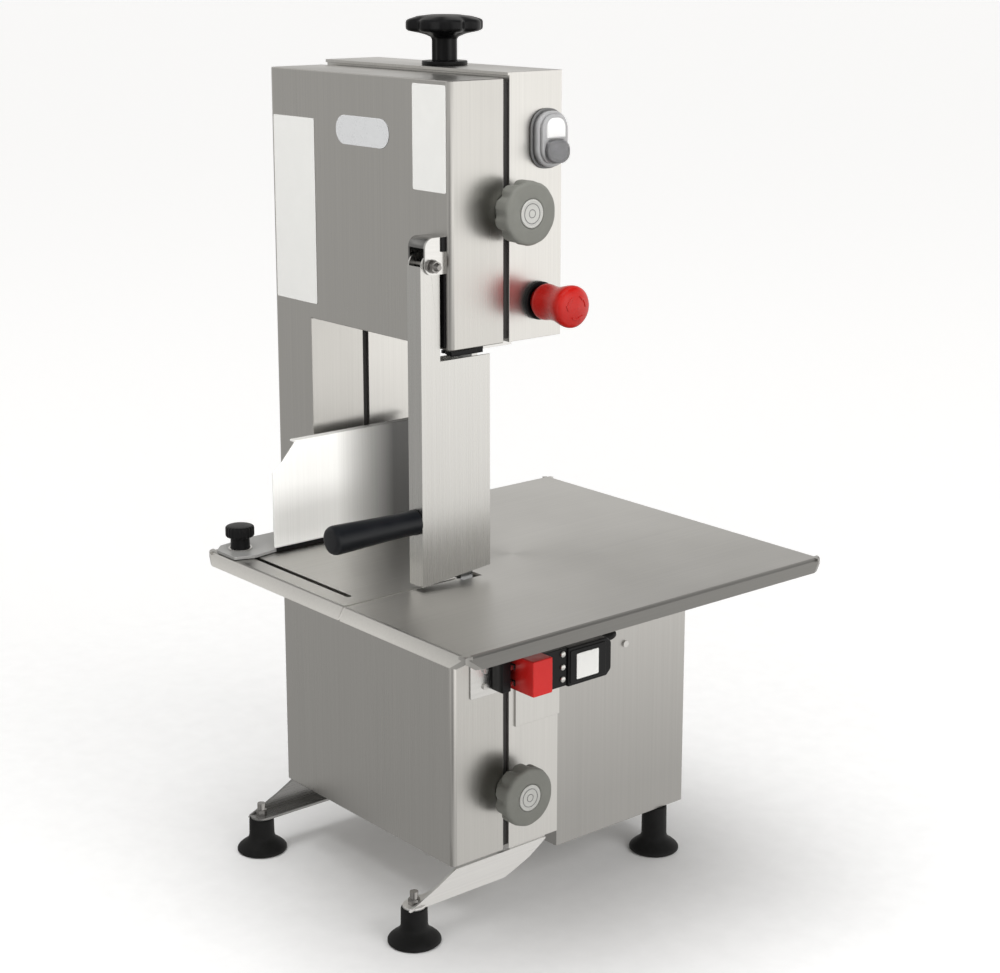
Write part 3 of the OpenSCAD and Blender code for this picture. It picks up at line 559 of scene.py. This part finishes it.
# ---------------------------------------------------------------- tension knob
TENSION_BASE = 742.6
TENSION = [(12.0, 2.0), (12.3, 1.0), (12.3, 21.0), (13.4, 23.4), (18, 25.4), (24.6, 27.2), (30, 28.2),
           (34.6, 29.2), (36.6, 30.6), (37, 32.4), (37, 37.4), (36.2, 39), (34.0, 40.2), (26, 42.4),
           (14, 43.9), (0.1, 44.3)]


def tension_wave(a, k):
    """Fluted neck and eight deep hollows in the rim."""
    if k in (1, 2):
        return scallop(a, 8, 0.10, 0.8)
    if 5 <= k <= 12:
        return scallop(a, 8, 0.15, 1.7)
    return 1.0


add_lathe("tension_handwheel", "black", "tensioner", [(r, TENSION_BASE + h) for r, h in TENSION],
          frame_of(TENSION_AXIS, (0, 0, 1)), 160, tension_wave, "tension_knob")


# ---------------------------------------------------------------- fence knob and painted shadow strip
FENCE_STEM = [(2.3, -13), (2.5, -12.6), (2.5, 3.4), (9.6, 3.7), (9.9, 4.2), (9.8, 4.9), (9.4, 5.2),
              (9.2, 14.6), (9.9, 15.6)]
FENCE_GRIP = [(9.4, 15.2), (12.8, 15.7), (13.8, 16.6), (14, 17.8), (14, 24.2), (13.4, 25.6), (11.8, 26.3),
              (7, 26.5), (0.1, 26.5)]
FENCE_WASHER = [(4.2, 3.45), (11.4, 3.5), (11.8, 3.9), (11.4, 4.5), (4.2, 4.6)]


def fence_wave(a, k):
    return scallop(a, 24, 0.045) if 1 <= k <= 6 else 1.0


place = frame_of(FENCE_KNOB, (0, 0, 1))
bm = bmesh.new()
lathe(bm, FENCE_STEM, place, 72)
lathe(bm, FENCE_GRIP, place, 144, fence_wave)
make("fence_handwheel", bm, "black", "fence_clamp", "fence_knob")
add_lathe("fence_washer", "bolt", "fence_clamp", FENCE_WASHER, place, 48)
# A thin black strip along the fence's foot, put where its shade falls on the table: painted shadow.
add_slab("fence_shadow_strip", "black", "fence",
         [(box2d(-61, 117, 277.55, 281.9, 0.4, 2), -195.1, -193.3, side, 0.2, 2)])


# ---------------------------------------------------------------- pusher handle
GRIP = [(10.6, 0.1), (11.4, 0.6), (11.9, 2.0), (11.5, 5), (11.2, 12), (11.3, 25), (11.7, 42), (12.3, 60),
        (12.9, 76), (13.2, 86), (13.2, 89.5), (12.8, 91.8), (11.8, 93.6), (10.2, 94.6), (8, 95), (0.1, 95)]
place = frame_of(HANDLE, (0, -1, 0))
bm = bmesh.new()
lathe(bm, GRIP, place, 72)
lathe(bm, [(3.9, -6), (4, 0.5)], place, 24)
make("handle_grip", bm, "handle", "arm", "arm_handle")
add_lathe("handle_nut", "bolt", "arm", [(6.4, 1.85), (6.6, 2.4), (6.5, 5.2), (5.8, 6)],
          frame_of(HANDLE, (0, 1, 0)), 6)


# ---------------------------------------------------------------- stop button
STOP_TOP = 54.4
STOP_HEAD = [(8.2, 5.4), (14.0, 5.4), (14.2, 9.2), (15.8, 9.4), (16.5, 10.1), (16.8, 11.6), (16.6, 14.5),
             (16.0, 18), (15.6, 21.5), (15.6, 25), (15.9, 29), (16.7, 33), (17.8, 37), (18.7, 40.5),
             (19.3, 43.8), (19.4, 46.2), (18.9, 48.4), (17.5, 50.2), (15, 51.6), (11, 52.9), (6, 53.9),
             (0.1, STOP_TOP)]


def stop_marks(mat4, radius=10.5, steps=14, taper_from=9):
    """Turn-to-release marks: three plain raised arcs that end in a point and follow the domed face."""
    bm = bmesh.new()
    for k in range(3):
        loops = []
        for i in range(steps + 1):
            a = 2 * math.pi * k / 3 + math.radians(75) * i / steps
            w = 0.8 if i < taper_from else 1.7 * (steps - i) / (steps - taper_from) + 0.1
            section = ((-w, -0.6), (w, -0.6), (w, 0.15), (-w, 0.15))
            loops.append([polar(mat4, radius + dr, a, STOP_TOP + dh - 0.0088 * (radius + dr) ** 2)
                          for dr, dh in section])
        rings(bm, loops)
    make("stop_arrows", bm, "red", "stop_mushroom")


place = frame_of(STOP, (1, 0, 0))
add_lathe("stop_mushroom_head", "red", "stop_mushroom", STOP_HEAD, place, 96, node="stop_head")
stop_marks(place)


# ---------------------------------------------------------------- twin push button
add_slab("button_gasket_pad", "pad", "frame",
         [(box2d(92.2, 131.8, 652.2, 706.3, 17.5), 0.05, 2.5, side, 0.6)], "button_gasket")
add_slab("button_bezel_ring", "bezel", "frame",
         [(box2d(94, 130.5, 654, 704.5, 16.5), 2.5, 9.4, side, 2.2, 5),
          (box2d(96.8, 127.7, 656.9, 701.7, 14), 8.0, 12.8, side, 1.6, 5)], "button_bezel")
start_key = rounded([(101.2, 680.2, 1.5), (123.2, 680.2, 1.5), (123.2, 698.6, 9), (101.2, 698.6, 9)], 8)
add_slab("start_key_face", "key_on", "start_key", [(start_key, 9, 14.6, side, 1.6, 4)], "start_button")
stop_key = rounded([(101.2, 660, 9), (123.2, 660, 9), (123.2, 677.2, 1.5), (101.2, 677.2, 1.5)], 8)
add_slab("stop_key_face", "key_off", "stop_key", [(stop_key, 9, 16.4, side, 1.6, 4)], "stop_button")
add_slab("button_lamp", "cap", "frame", [(box2d(108, 116, 677.7, 679.7, 0.4, 2), 12, 13.4, side, 0.3, 2)])
add_slab("button_boot", "clear", "frame",
         [(box2d(99.2, 125.6, 657.6, 679.6, 10), 12.7, 20.4, side, 5.0, 8)])


# ---------------------------------------------------------------- safety switch, its key and cable
add_slab("switch_head_block", "redmat", "frame",
         [(box2d(64.5, 88.6, 166, 201, 1.2, 3), 2.2, 40, side, 1.0, 3)], "switch_head")
# Black patches on the switch head where the key slots open: painted shade in place of open slots.
add_slab("switch_slot_shade", "rubber", "frame",
         [(box2d(5.5, 14.5, z - 3, z + 3, 0.8, 2), -65.4, -64.42, front) for z in (173, 189)])
switch_case = rounded([(117, 161.2, 1.5), (167, 161.2, 3), (172.8, 167, 4), (172.8, 195, 5), (167, 200, 4),
                       (117, 200, 1.5)], 3)
switch_lid = rounded([(119, 164.2, 1.5), (165, 164.2, 2), (165, 197, 2), (119, 197, 1.5)], 3)
add_slab("switch_case", "black", "frame",
         [(box2d(88.8, 117, 162.4, 200.6, 1, 2), 2.0, 28, side, 0.8, 3),
          (switch_case, 2.0, 30, side, 1.4, 3),
          (switch_lid, 29.6, 31, side, 0.7, 3)], "switch_body")
add_slab("switch_blank_label", "plate", "frame",
         [(box2d(126.6, 154.8, 167.2, 192.8, 1.2, 3), 30.6, 31.7, side, 0.3, 2)], "switch_lid")
bm = bmesh.new()
for z in (170, 182, 195):
    lathe(bm, [(3.1, 27.5), (3.2, 28.6), (2.9, 29.4), (2.0, 29.9), (0.1, 30)],
          frame_of((0, 111.5, z), (1, 0, 0)), 28)
make("switch_screw_heads", bm, "bolt", "frame", "switch_screws")
LEAD_ROUTE = [(14, 170, 192), (14, 176, 192), (14, 182, 192), (13.2, 188, 192), (9.6, 193.6, 192),
              (3.5, 196, 192), (-4, 196, 192)]
LEAD_RADIUS = 3.4
bm = bmesh.new()
tube(bm, spline(LEAD_ROUTE, 8), LEAD_RADIUS, 22)
make("switch_lead", bm, "rubber", "frame", "switch_cable")
key_plate = rounded([(20.7, 163.1, 2), (58, 163.1, 1), (58, 202.9, 1), (20.7, 202.9, 2)], 3)
add_slab("key_plate", "bright", "door", [(key_plate, 0.02, 1.5, side, 0.3, 2)], "switch_key")
add_slab("key_block", "black", "door", [(box2d(47.2, 57.8, 167.2, 197.8, 1, 3), 1.4, 16, side, 1.0, 3)])


# ---------------------------------------------------------------- blank plates and badge
add_slab("blank_plates", "plate", "door",
         [(box2d(-273, -205, 512, 690, 2, 4), 0.02, 0.55, front, 0.15, 2),
          (box2d(-52, -4.5, 637, 731, 2, 4), 0.02, 0.55, front, 0.15, 2)], "label_plates")
add_slab("blank_badge", "badge", "door",
         [(box2d(-169, -87, 669.5, 696.5, 13.4, 10), 0.02, 0.6, front, 0.2, 2)], "front_badge")


# ---------------------------------------------------------------- floor
FLOOR_RADIUS = 60
FAR_GLOW = 0.56
GLOW_REACH = 6.8


def floor_material():
    """Pale floor that stays pale further out, where the soft light above no longer reaches."""
    m, nt, b = new_mat("floor")
    grain = noise(nt, coords(nt, 40), 4.0, 0.6)
    shade = tone(nt, span(nt, grain, 0, 1), (0.86,) * 3, (0.89,) * 3)
    nt.links.new(shade, b.inputs["Base Color"])
    b.inputs["Roughness"].default_value = 0.85
    b.inputs["Specular IOR Level"].default_value = 0.15
    geo = nt.nodes.new("ShaderNodeNewGeometry")
    parts = nt.nodes.new("ShaderNodeSeparateXYZ")
    nt.links.new(geo.outputs["Position"], parts.inputs[0])
    x, y = parts.outputs[:2]
    dist = maths(nt, "ADD", maths(nt, "MULTIPLY", x, x), maths(nt, "MULTIPLY", y, y))
    fall = maths(nt, "DIVIDE", GLOW_REACH, maths(nt, "ADD", dist, GLOW_REACH))
    far = maths(nt, "SUBTRACT", 1.0, maths(nt, "MULTIPLY", fall, fall))
    nt.links.new(maths(nt, "MULTIPLY", far, FAR_GLOW), b.inputs["Emission Strength"])
    b.inputs["Emission Color"].default_value = (1, 1, 1, 1)
    return m


def add_floor(n=96):
    bm = bmesh.new()
    turns = [2 * math.pi * i / n for i in range(n)]
    bm.faces.new([bm.verts.new((FLOOR_RADIUS * math.cos(a), FLOOR_RADIUS * math.sin(a), 0)) for a in turns])
    me = bpy.data.meshes.new("floor")
    bm.to_mesh(me)
    bm.free()
    floor = bpy.data.objects.new("floor", me)
    scene.collection.objects.link(floor)
    me.materials.append(floor_material())
    floor.visible_glossy = False


add_floor()


# ---------------------------------------------------------------- world
# Soft patches of the surroundings: direction, where they start and are full, what they add.
# The wall patches come before the darkening low and overhead, the room patches after it.
WALL_PATCHES = [((-0.3, 0.93, 0.2), 0.66, 0.98, -0.10), ((0.64, -0.77, -0.2), 0.80, 0.99, -0.52)]
ROOM_PATCHES = [((-0.70, -0.46, 0.55), 0.84, 0.98, 0.42), ((0.68, 0.59, -0.44), 0.94, 0.99, -0.17),
                ((0.60, 0.62, 0.52), 0.80, 0.97, -0.50)]
DARKEST = 0.02
BACKGROUND = 0.97
ROOM_TINT = (1.0, 0.985, 0.96, 1)


def patch(nt, sky, direction, start, full):
    """Smooth step on how closely the sky direction follows the given one."""
    dot = nt.nodes.new("ShaderNodeVectorMath")
    dot.operation = "DOT_PRODUCT"
    dot.inputs[1].default_value = Vector(direction).normalized()
    nt.links.new(sky, dot.inputs[0])
    m = nt.nodes.new("ShaderNodeMapRange")
    m.interpolation_type = "SMOOTHSTEP"
    m.inputs[1].default_value = start
    m.inputs[2].default_value = full
    nt.links.new(dot.outputs["Value"], m.inputs[0])
    return m.outputs[0]


def add_patches(nt, sky, level, patches):
    for direction, start, full, amount in patches:
        share = maths(nt, "MULTIPLY", patch(nt, sky, direction, start, full), amount)
        level = maths(nt, "ADD", level, share)
    return level


def room_level(nt, sky):
    """Brightness of the surroundings: more to the right and back, less low and overhead."""
    parts = nt.nodes.new("ShaderNodeSeparateXYZ")
    nt.links.new(sky, parts.inputs[0])
    x, y, z = parts.outputs
    across = maths(nt, "ADD", maths(nt, "MULTIPLY", x, 0.767), maths(nt, "MULTIPLY", y, 0.641))
    level = add_patches(nt, sky, span(nt, across, 0.465, 1.33, -1.0, 1.0), WALL_PATCHES)
    level = maths(nt, "MULTIPLY", level, span(nt, z, 0.56, 1.0, -0.56, -0.14))
    level = maths(nt, "MULTIPLY", level, span(nt, z, 1.0, 0.30, 0.34, 0.72))
    return maths(nt, "MAXIMUM", add_patches(nt, sky, level, ROOM_PATCHES), DARKEST)


def add_world():
    """The camera sees a plain pale backdrop; everything else sees the room level."""
    world = bpy.data.worlds.new("studio")
    scene.world = world
    world.use_nodes = True
    nt = world.node_tree
    nt.nodes.clear()
    out = nt.nodes.new("ShaderNodeOutputWorld")
    bg = nt.nodes.new("ShaderNodeBackground")
    nt.links.new(bg.outputs[0], out.inputs[0])
    sky = nt.nodes.new("ShaderNodeTexCoord").outputs["Generated"]
    path = nt.nodes.new("ShaderNodeLightPath")
    pick = nt.nodes.new("ShaderNodeMix")
    nt.links.new(path.outputs["Is Camera Ray"], pick.inputs[0])
    nt.links.new(room_level(nt, sky), pick.inputs[2])
    pick.inputs[3].default_value = BACKGROUND
    nt.links.new(pick.outputs[0], bg.inputs["Strength"])
    bg.inputs["Color"].default_value = ROOM_TINT


add_world()


# ---------------------------------------------------------------- lights
def area(name, loc, target, size, power):
    """Soft rectangular light, unseen by the camera and by the metal."""
    d = bpy.data.lights.new(name, "AREA")
    d.shape = "RECTANGLE"
    d.size, d.size_y = size
    d.energy = power
    o = bpy.data.objects.new(name, d)
    scene.collection.objects.link(o)
    o.location = loc
    o.rotation_euler = (Vector(target) - Vector(loc)).to_track_quat("-Z", "Y").to_euler()
    o.visible_camera = False
    o.visible_glossy = False
    return o


# The front of the fence is much brighter than the steel around it, so this light falls on it alone.
fence_light = area("fence_soft", P(900, -340, 520), P(-194, 0, 345), (0.25, 0.25), 12)
linked = bpy.data.collections.new("fence_only")
linked.objects.link(NODES["fence"])
fence_light.light_linking.receiver_collection = linked
area("top_soft", (0.2, -0.4, 2.6), (0, 0, 0.3), (2.2, 2.2), 60)
area("right_soft", (2.6, 0.4, 1.5), (0, 0, 0.4), (1.6, 2.0), 26)

scene.view_settings.view_transform = "Standard"
